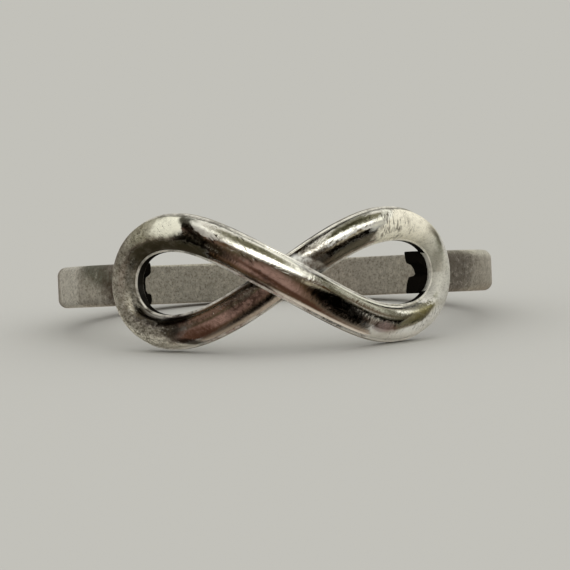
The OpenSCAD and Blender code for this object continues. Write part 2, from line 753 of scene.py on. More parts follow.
def opaque(colour: object) -> object:
    """Makes three linear numbers an opaque colour, and leaves a socket as it is."""
    return colour if isinstance(colour, Socket) else (*colour, 1.0)


class Effect(Enum):
    """The surface effects that the silvers share, each a node group."""

    SCRATCHES = "Fine Scratches"
    PITS = "Casting Pits"
    TARNISH = "Dark Tarnish"
    PATCH = "Wear and Painted Light Patch"
    STRIP = "Wear and Painted Light Strip"


def new_group(effect: Effect, inputs: dict[str, object]) -> tuple[Graph, Sockets]:
    """Starts the node group of an effect, which takes the surface laid flat and more inputs.

    Args:
        effect: Which one.
        inputs: The first value of each further input, by name: a number, or three for a vector.

    Returns:
        The group's graph, and its inputs' sockets by name.
    """
    tree = bpy.data.node_groups.new(effect.value, "ShaderNodeTree")
    tree.interface.new_socket(name="Flat", in_out="INPUT", socket_type="NodeSocketVector")
    for name, value in inputs.items():
        kind = "NodeSocketVector" if isinstance(value, tuple) else "NodeSocketFloat"
        socket = tree.interface.new_socket(name=name, in_out="INPUT", socket_type=kind)
        socket.default_value = value
    tree.interface.new_socket(name="Mask", in_out="OUTPUT", socket_type="NodeSocketFloat")
    graph = Graph(tree)
    return graph, graph.node("NodeGroupInput").outputs


def scratches_group() -> bpy.types.NodeTree:
    """Hair lines in one direction, broken up so that few are long.

    Returns:
        The node group.
    """
    graph, given = new_group(Effect.SCRATCHES, {
        "Angle": 0.0, "Along": 0.5, "Across": 8.0, "Width": 0.02, "Amount": 0.5, "Seed": 0.0})
    stretch = graph.join(given["Along"], 1.0, given["Across"])
    stretched = graph.vector("MULTIPLY", graph.turned(given["Flat"], given["Angle"]), stretch)
    shift = graph.join(given["Seed"], given["Seed"])
    # A line runs where the noise crosses its middle value.
    wave = graph.noise(graph.vector("ADD", stretched, shift), 1.0, 2.0, 0.5)
    off = graph.math("ABSOLUTE", graph.minus(wave, 0.5))
    line = graph.ramp(graph.math("DIVIDE", off, given["Width"]), 1.0, 0.2)
    spread = graph.noise(graph.vector("ADD", given["Flat"], shift), 1.7, 2.0)
    threshold = graph.minus(0.85, graph.times(given["Amount"], 0.6))
    shown = graph.ramp(spread, threshold, graph.plus(threshold, 0.12))
    return graph.give(graph.times(line, shown))


def pits_group() -> bpy.types.NodeTree:
    """Scattered round pits, each cell of the pattern holding one or none.

    Returns:
        The node group.
    """
    graph, given = new_group(Effect.PITS, {"Scale": 2.0, "Size": 0.12, "Amount": 0.3})
    cells = graph.node("ShaderNodeTexVoronoi", {"Vector": given["Flat"], "Scale": given["Scale"],
                                                "Randomness": 1.0}).outputs
    luck = graph.node("ShaderNodeSeparateColor", {0: cells["Color"]}).outputs
    chosen = graph.math("LESS_THAN", luck[0], given["Amount"])
    size = graph.times(given["Size"], graph.mix_value(luck[1], 0.45, 1.0))
    dot = graph.ramp(graph.math("DIVIDE", cells["Distance"], size), 1.0, 0.35)
    return graph.give(graph.times(dot, chosen))


def tarnish_group() -> bpy.types.NodeTree:
    """Dark sulphide where polishing can't reach, with a ragged edge.

    Returns:
        The node group.
    """
    graph, given = new_group(Effect.TARNISH, {"Recess": 0.0, "Start": 0.25, "Full": 0.6})
    recess = graph.plus(given["Recess"], graph.jag(given["Flat"], 3.5, 0.65, 0.35))
    return graph.give(graph.ramp(recess, given["Start"], given["Full"]))


def patch_group() -> bpy.types.NodeTree:
    """An oval area of the flat surface with a soft, ragged edge.

    Returns:
        The node group.
    """
    graph, given = new_group(Effect.PATCH, {
        "Place": (0, 0, 0), "Reach": (1, ALL_DEPTHS, 1), "Lean": 0.0, "Blur": 0.3, "Ragged": 0.3})
    off = graph.vector("SUBTRACT", given["Flat"], given["Place"])
    local = graph.vector("DIVIDE", graph.turned(off, given["Lean"]), given["Reach"])
    edge = graph.plus(graph.length(local), graph.jag(given["Flat"], 2.6, 0.6, given["Ragged"]))
    blur = given["Blur"]
    return graph.give(graph.ramp(edge, graph.plus(1.0, blur), graph.minus(1.0, blur)))


def strip_group() -> bpy.types.NodeTree:
    """A strip that runs along the strand, with soft, ragged edges.

    Returns:
        The node group.
    """
    graph, given = new_group(Effect.STRIP, {
        "Outward": 0.0, "From": 0.0, "To": 1.0, "Low": -1.0, "High": 1.0, "Blur": 0.15,
        "Ragged": 0.2})
    jag = graph.jag(given["Flat"], 3.2, 0.65, given["Ragged"])
    along = graph.plus(graph.parts(given["Flat"])[0], graph.times(jag, 3.0))
    outward = graph.plus(given["Outward"], graph.times(jag, 2.0))
    mask = 1.0
    for value, low, high, blur in ((along, given["From"], given["To"],
                                    graph.times(given["Blur"], 1.5)),
                                   (outward, given["Low"], given["High"], given["Blur"])):
        start = graph.ramp(value, graph.minus(low, blur), graph.plus(low, blur))
        end = graph.ramp(value, graph.plus(high, blur), graph.minus(high, blur))
        mask = graph.times(mask, graph.times(start, end))
    return graph.give(mask)


def effect_group(effect: Effect) -> bpy.types.NodeTree:
    """The node group of an effect, built the first time it is asked for.

    Args:
        effect: The effect that a material needs.

    Returns:
        Its node group, the same one each time.
    """
    makers = {Effect.SCRATCHES: scratches_group, Effect.PITS: pits_group,
              Effect.TARNISH: tarnish_group, Effect.PATCH: patch_group, Effect.STRIP: strip_group}
    return bpy.data.node_groups.get(effect.value) or makers[effect]()


# ---------------------------------------------------------------- finishes


# Radius at which the surface is laid flat, in millimetres: the strand's widest level
FLAT_RADIUS = 9.65
# Reach of an area outwards, which is so great that it holds at all depths
ALL_DEPTHS = 1e6
# Value of the mark of the over strand, up or down, within which one strand gives way to the other
STRANDS_MEET = 0.02
# Brightest channel above which a tint is pale, and the mask's value where a dark one's film starts
PALE_TONE = 0.3
LATE_FILM = 0.7
# Slant of the wiping marks across the runs, in degrees
WIPED_ACROSS = 72.0
# Where masks go from 0 to 1: heights above the strand's widest level, and places round the
# finger, in millimetres, and places outwards from the eye
AT_BACK = (-0.44, -0.48)
OUTER_WALL = (-0.11, -0.2)
BELOW_RIM = (-0.068, -0.08)
AT_RIM = (-0.076, -0.07)
OVER_RIM = (0.012, 0.003)
ON_LOOP = (1.8, 2.6)
OUTER_SIDE = (0.5, 0.9)


@dataclass(frozen=True)
class Measures:
    """What the finishes go by at a point.

    They are the surface laid flat, how hidden the point is and, on the strand, the place across
    it outwards from the eye, the height above its widest level in millimetres, and a value that
    is positive on the over strand.
    """

    flat: Socket
    recess: Socket
    outward: Socket
    height: Socket
    over: Socket


@dataclass(frozen=True)
class Patch:
    """An oval area of the surface laid flat, in millimetres round the finger and along it.

    It leans by an angle in degrees. It may be kept within one area, and another cut out of it.
    """

    place: Pair
    reach: Pair
    lean: float = 0.0
    blur: float = 0.25
    ragged: float = 0.5
    within: "Patch | None" = None
    cut: "Patch | Strip | None" = None

    def mask(self, graph: Graph, at: Measures) -> Socket:
        """Adds the patch to a material and returns its mask.

        Args:
            graph: The material's nodes.
            at: What the finish goes by.

        Returns:
            The patch's mask.
        """
        mask = graph.effect(Effect.PATCH, {
            "Flat": at.flat, "Place": (self.place[0], 0.0, self.place[1]),
            "Reach": (self.reach[0], ALL_DEPTHS, self.reach[1]), "Lean": math.radians(self.lean),
            "Blur": self.blur, "Ragged": self.ragged})
        if self.within:
            mask = graph.times(mask, self.within.mask(graph, at))
        if self.cut:
            mask = graph.times(mask, graph.minus(1.0, self.cut.mask(graph, at)))
        return mask


@dataclass(frozen=True)
class Strip:
    """A strip along one of the strands, or along both where over is None.

    Its span is in millimetres round the finger, and its edges are shares of the half width,
    outwards from the eye.
    """

    over: bool | None
    span: Pair
    edges: Pair
    blur: float = 0.15
    ragged: float = 0.3

    def mask(self, graph: Graph, at: Measures) -> Socket:
        """Adds the strip to a material and returns its mask.

        Args:
            graph: The material's nodes.
            at: What the finish goes by.

        Returns:
            The strip's mask.
        """
        mask = graph.effect(Effect.STRIP, {
            "Flat": at.flat, "Outward": at.outward, "From": self.span[0], "To": self.span[1],
            "Low": self.edges[0], "High": self.edges[1], "Blur": self.blur,
            "Ragged": self.ragged})
        if self.over is None:
            return mask
        edge = STRANDS_MEET if self.over else -STRANDS_MEET
        return graph.times(mask, graph.ramp(at.over, -edge, edge))


@dataclass(frozen=True)
class Scratches:
    """Fine lines that run one way: their angle in degrees, size, amount and where they are."""

    angle: float
    along: float
    across: float
    width: float
    amount: float
    seed: float
    within: Patch | None = None

    def mask(self, graph: Graph, at: Measures) -> Socket:
        """Adds the lines to a material and returns their mask.

        Args:
            graph: The material's nodes.
            at: What the finish goes by.

        Returns:
            The mask of the lines.
        """
        mask = graph.effect(Effect.SCRATCHES, {
            "Flat": at.flat, "Angle": math.radians(self.angle), "Along": self.along,
            "Across": self.across, "Width": self.width, "Amount": self.amount, "Seed": self.seed})
        return graph.times(mask, self.within.mask(graph, at)) if self.within else mask


@dataclass(frozen=True)
class Tint:
    """An area with a colour of its own: a real spot, or a painted highlight, reflection or shade.

    Its film is how far it hides the metal below it.
    """

    area: Patch | Strip
    colour: Colour
    amount: float
    film: float = 0.0

    def film_start(self) -> float:
        """The mask's value at which the film starts: late if dark, or its edge would look grey."""
        return 0.0 if max(self.colour) > PALE_TONE else LATE_FILM


@dataclass(frozen=True)
class Wear:
    """Where each kind of wear is: masks, each a socket or a number that holds all over.

    Rubbed is satin from rubbing, dull was never polished, and satin is either of the two. Dark
    is tarnish, and painted shade too on the walls inside the eyes and on the shank's ends.
    """

    rubbed: object
    dull: object
    satin: object
    scratches: object
    cuts: object
    stains: Socket
    pits: Socket
    grain: Socket
    dark: Socket


@dataclass(frozen=True)
class Relief:
    """Heights of the surface's unevenness, in thousandths of a millimetre."""

    waves: float = 10.0
    bright_grain: float = 0.25
    satin_grain: float = 1.6
    scratches: float = 1.2
    pits: float = 8.0
    brushing: float = 2.4
    wiped_along: float = 7.0
    wiped_across: float = 6.0


@dataclass(frozen=True)
class WornSilver:
    """Sterling silver, polished long ago and worn since.

    The rim is how bright the strand's fine rim is, and wiped is the slant in degrees of the
    streaks that wiping left. Both are 0 where there are none.
    """

    name: str
    bright: Colour = (0.90, 0.88, 0.83)
    satin: Colour = (0.44, 0.41, 0.345)
    cloud: Colour = (0.56, 0.50, 0.40)
    shade: Colour = (0.20, 0.17, 0.12)
    gleam: Colour = (0.85, 0.81, 0.69)
    grime: Colour = (0.09, 0.075, 0.05)
    scratched: Colour = (0.14, 0.12, 0.09)
    cut: Colour = (0.06, 0.045, 0.03)
    stain: Colour = (0.10, 0.075, 0.055)
    pit: Colour = (0.05, 0.04, 0.03)
    # Tone of the worn rim, painted as a bright highlight
    rim_highlight: Colour = (0.95, 0.92, 0.82)
    # Black of tarnish, also used as painted shade inside the eyes and on the shank's ends
    sulphide_and_shade: Colour = (0.006, 0.005, 0.004)
    bright_rough: float = 0.05
    satin_rough: float = 0.34
    stain_rough: float = 0.4
    sulphide_rough: float = 0.7
    film: float = 0.22
    dull_film: float = 0.6
    rim_film: float = 0.75
    satin_all_over: float = 0.0
    satin_patches: tuple[Patch, ...] = ()
    smooth: tuple[Patch, ...] = ()
    tints: tuple[Tint, ...] = ()
    stains: tuple[Patch, ...] = ()
    # Areas made black: tarnish and painted shade
    tarnished_and_shaded: tuple[Patch, ...] = ()
    scratches: tuple[Scratches, ...] = ()
    cuts: tuple[Scratches, ...] = ()
    pitted: tuple[Patch, ...] = ()
    pits: float = 0.3
    tarnish_start: float = 0.3
    tarnish_full: float = 0.75
    rim: float = 0.0
    wiped: float = 0.0
    brushed: bool = False
    relief_heights: Relief = Relief()

    def material(self) -> bpy.types.Material:
        """Builds the material.

        Returns:
            The material.
        """
        material = bpy.data.materials.new(self.name)
        material.use_nodes = True
        material.node_tree.nodes.clear()
        graph = Graph(material.node_tree)
        at = self.measures(graph)
        wear = self.wear(graph, at)
        colour, film = self.layers(graph, at, wear)
        metal = graph.times(graph.minus(1.0, film), graph.ramp(wear.dark, 0.6, 0.95, 1.0, 0.0))
        shader = graph.node("ShaderNodeBsdfPrincipled", {
            "Base Color": colour, "Metallic": metal,
            "Roughness": self.roughness(graph, at, wear), "Specular IOR Level": 0.0,
            "Normal": self.relief(graph, at, wear)})
        graph.node("ShaderNodeOutputMaterial", {"Surface": shader.outputs[0]})
        return material

    def measures(self, graph: Graph) -> Measures:
        """Gathers what the finish goes by.

        Args:
            graph: The material's nodes.

        Returns:
            The sockets of those measures.
        """
        flat = self.laid_flat(graph)
        recess, across, height, over = (
            graph.node("ShaderNodeAttribute", attribute_name=name).outputs["Fac"]
            for name in ("recess", "across", "height", "over"))
        side = graph.math("SIGN", graph.parts(flat)[0])
        return Measures(flat, recess, graph.times(across, graph.times(side, -1.0)), height, over)

    def laid_flat(self, graph: Graph) -> Socket:
        """Lays the surface flat.

        Args:
            graph: The material's graph.

        Returns:
            Places in millimetres: round the finger, out from its axis, and along it.
        """
        placed = graph.node("ShaderNodeTexCoord").outputs["Object"]
        upright = graph.node("ShaderNodeMapping", {
            "Vector": placed, "Location": POSE.centre, "Rotation": (-POSE.tilt(), 0, 0),
            "Scale": (MM, MM, MM)}, vector_type="TEXTURE").outputs[0]
        x, y, z = graph.parts(upright)
        angle = graph.math("ARCTAN2", x, graph.times(y, -1.0))
        return graph.join(graph.times(angle, FLAT_RADIUS), graph.length(graph.join(x, y)), z)

    def together(self, graph: Graph, at: Measures, areas: tuple[Patch | Scratches, ...],
                 least: object = 0.0) -> object:
        """Joins the masks of areas into one that is nowhere below a value, and returns it.

        Args:
            graph: The material's nodes.
            at: What the finish goes by.
            areas: The patches or scratches to join.
            least: The value that the mask is nowhere below.

        Returns:
            The mask, or the least value itself where there are no areas.
        """
        total = least
        for area in areas:
            total = graph.greater(total, area.mask(graph, at))
        return total

    def wear(self, graph: Graph, at: Measures) -> Wear:
        """Finds where each kind of wear is.

        Args:
            graph: The material's graph.
            at: What the finish goes by.

        Returns:
            The masks.
        """
        rubbed = self.together(graph, at, self.satin_patches, self.satin_all_over)
        dull = self.dull_mask(graph, at) if self.rim else 0.0
        broken = graph.ramp(graph.noise(at.flat, 4.5, 5.0, 0.7), 0.35, 0.62, 0.35, 1.0)
        return Wear(
            rubbed=rubbed, dull=dull, satin=graph.greater(rubbed, dull) if self.rim else rubbed,
            scratches=self.together(graph, at, self.scratches),
            cuts=self.together(graph, at, self.cuts),
            stains=graph.times(self.together(graph, at, self.stains), broken),
            pits=graph.effect(Effect.PITS, {"Flat": at.flat, "Scale": 3.2, "Size": 0.15,
                                            "Amount": self.pits}),
            grain=graph.noise(at.flat, 11.0, 4.0, 0.65),
            dark=self.dark_mask(graph, at, dull))

    def dull_mask(self, graph: Graph, at: Measures) -> Socket:
        """The strand's back and the outer walls of the loops, which were never polished.

        Args:
            graph: The material's nodes.
            at: What the finish goes by.

        Returns:
            The mask, which is 1 where the silver is dull.
        """
        loop = graph.ramp(graph.math("ABSOLUTE", graph.parts(at.flat)[0]), *ON_LOOP)
        wall = graph.times(graph.ramp(at.outward, *OUTER_SIDE), graph.ramp(at.height, *OUTER_WALL))
        return graph.greater(graph.ramp(at.height, *AT_BACK), graph.times(loop, wall))

    def dark_mask(self, graph: Graph, at: Measures, dull: object) -> Socket:
        """Where it is black: tarnish in recesses, painted shade and tarnish on the eyes' walls.

        Args:
            graph: The material's graph.
            at: What the finish goes by.
            dull: The mask of what is dull instead.

        Returns:
            The mask.
        """
        tarnish = graph.effect(Effect.TARNISH, {
            "Flat": at.flat, "Recess": at.recess, "Start": self.tarnish_start,
            "Full": self.tarnish_full})
        dark = self.together(graph, at, self.tarnished_and_shaded, tarnish)
        if self.rim:
            # The walls below the rim go black: painted shade, and partly tarnish
            wall = graph.minus(graph.ramp(at.height, *BELOW_RIM), dull)
            dark = graph.greater(dark, graph.times(wall, graph.ramp(at.recess, 0.0, 0.15,
                                                                    0.95, 1.0)))
        return dark

    def rim_mask(self, graph: Graph, at: Measures) -> Socket:
        """The fine line between wall and dome: worn, with a painted highlight, and dull places.

        Args:
            graph: The material's nodes.
            at: What the finish goes by.

        Returns:
            The mask of the line.
        """
        line = graph.times(graph.ramp(at.height, *AT_RIM), graph.ramp(at.height, *OVER_RIM))
        places = graph.ramp(graph.noise(at.flat, 1.4, 4.0, 0.7), 0.38, 0.6, 0.3, 1.0)
        return graph.times(graph.times(line, places), self.rim)

    def layers(self, graph: Graph, at: Measures, wear: Wear) -> tuple[Socket, Socket]:
        """Lays colours and painted light over each other, from the bare silver up to the tarnish.

        Args:
            graph: The material's graph.
            at: What the finish goes by.
            wear: Where each kind of wear is.

        Returns:
            The colour, and how far a film hides the metal.
        """
        colour = graph.mix(wear.rubbed, self.bright, self.satin)
        film = graph.times(wear.rubbed, self.film)
        for tint in self.tints:
            mask = tint.area.mask(graph, at)
            colour = graph.mix(graph.times(mask, tint.amount), colour, tint.colour)
            if tint.film:
                film = graph.greater(film, graph.ramp(mask, tint.film_start(), 1.0, 0.0,
                                                      tint.film*tint.amount))
        if self.rim:
            colour = graph.mix(wear.dull, colour, self.satin)
            film = graph.mix_value(wear.dull, film, self.dull_film)

        smooth = graph.ramp(self.together(graph, at, self.smooth), 0.0, 1.0, 1.0, 0.3)
        uneven = graph.times(wear.satin, smooth)
        clouds = graph.ramp(graph.noise(at.flat, 1.3, 4.0, 0.6), 0.5, 0.75, 0.0, 0.15)
        mottling = graph.noise(at.flat, 5.0, 5.0, 0.7)
        specks = graph.ramp(graph.noise(at.flat, 9.0, 3.0, 0.6), 0.50, 0.40, 0.0, 0.75)
        specks = graph.greater(
            graph.times(graph.ramp(wear.grain, 0.50, 0.36, 0.0, 0.7), uneven),
            graph.times(self.together(graph, at, self.pitted), specks))
        for mask, tone in (
                (clouds, self.cloud),
                (graph.times(graph.ramp(mottling, 0.53, 0.35, 0.0, 0.6), uneven), self.shade),
                (graph.times(graph.ramp(mottling, 0.51, 0.68, 0.0, 0.55), uneven), self.gleam),
                (specks, self.grime),
                (graph.times(wear.scratches, graph.mix_value(uneven, 0.35, 0.7)), self.scratched),
                (graph.times(wear.cuts, 0.85), self.cut),
                (graph.times(wear.stains, 0.9), self.stain),
                (graph.times(wear.pits, 0.85), self.pit)):
            colour = graph.mix(mask, colour, tone)
        if self.rim:
            # The rim line: a worn edge with a painted highlight
            rim = self.rim_mask(graph, at)
            colour = graph.mix(rim, colour, self.rim_highlight)
            film = graph.mix_value(rim, film, self.rim_film)
        # Black last: tarnish, and painted shade on the eyes' walls and the shank's ends
        return graph.mix(wear.dark, colour, self.sulphide_and_shade), film

    def roughness(self, graph: Graph, at: Measures, wear: Wear) -> Socket:
        """How rough the surface is: the more worn, the rougher.

        Args:
            graph: The material's graph.
            at: What the finish goes by.
            wear: Where each kind of wear is.

        Returns:
            The roughness.
        """
        rough = graph.mix_value(wear.satin, self.bright_rough, self.satin_rough)
        smears = graph.ramp(graph.noise(at.flat, 5.0, 4.0, 0.65), 0.4, 0.8, -0.01, 0.05)
        rough = graph.plus(graph.plus(rough, smears), graph.times(wear.scratches, 0.12))
        rough = graph.mix_value(graph.times(wear.stains, 0.8), rough, self.stain_rough)
        return graph.mix_value(wear.dark, rough, self.sulphide_rough)

    def relief(self, graph: Graph, at: Measures, wear: Wear) -> Socket:
        """The fine unevenness: waves left by polishing, grain, wiping marks, scratches and pits.

        Args:
            graph: The material's graph.
            at: What the finish goes by.
            wear: Where each kind of wear is.

        Returns:
            The bumped normal.
        """
        high = self.relief_heights
        height = graph.times(graph.noise(at.flat, 0.9, 2.0, 0.5), high.waves)
        grain = graph.mix_value(wear.satin, high.bright_grain, high.satin_grain)
        height = graph.plus(height, graph.times(wear.grain, grain))
        if self.wiped:
            height = graph.plus(height, self.wiping_marks(graph, at.flat))
        lines = graph.greater(wear.scratches, wear.cuts)
        height = graph.minus(height, graph.times(lines, high.scratches))
        height = graph.minus(height, graph.times(wear.pits, high.pits))
        if self.brushed:
            brushing = graph.streaks(at.flat, (26.0, 1.0, 1.2))
            height = graph.plus(height, graph.times(brushing, high.brushing))
        return graph.node("ShaderNodeBump", {"Height": height, "Strength": 1.0,
                                             "Distance": 0.001*MM}).outputs[0]

    def wiping_marks(self, graph: Graph, flat: Socket) -> Socket:
        """Shallow streaks left by wiping along each run of the eight and across it.

        Args:
            graph: The material's graph.
            flat: The surface laid flat.

        Returns:
            Their height.
        """
        under, over = (
            graph.streaks(graph.turned(flat, math.radians(slant)), (1.6, 1.0, 8.0), 0.6)
            for slant in (-self.wiped, self.wiped))
        x, _, z = graph.parts(flat)
        along = graph.mix_value(graph.ramp(graph.times(x, z), -0.4, 0.4), over, under)
        upright = graph.turned(flat, math.radians(WIPED_ACROSS))
        across = graph.streaks(upright, (1.8, 1.0, 10.0), 0.6)
        return graph.plus(graph.times(along, self.relief_heights.wiped_along),
                          graph.times(across, self.relief_heights.wiped_across))


# The satin end of the left loop, and the flat worn on the upper run of the right one
RUBBED_END = Patch((-8.6, 0.0), (4.5, 5.0), blur=0.12, ragged=0.35,
                   cut=Strip(None, (-6.7, -3.0), (-1.3, -0.35), blur=0.2, ragged=0.35))
CREAM = Patch((8.4, 2.1), (4.75, 2.3), blur=0.04, ragged=0.1,
              cut=Patch((1.15, 4.7), (4.0, 4.0), blur=0.03, ragged=0.12))

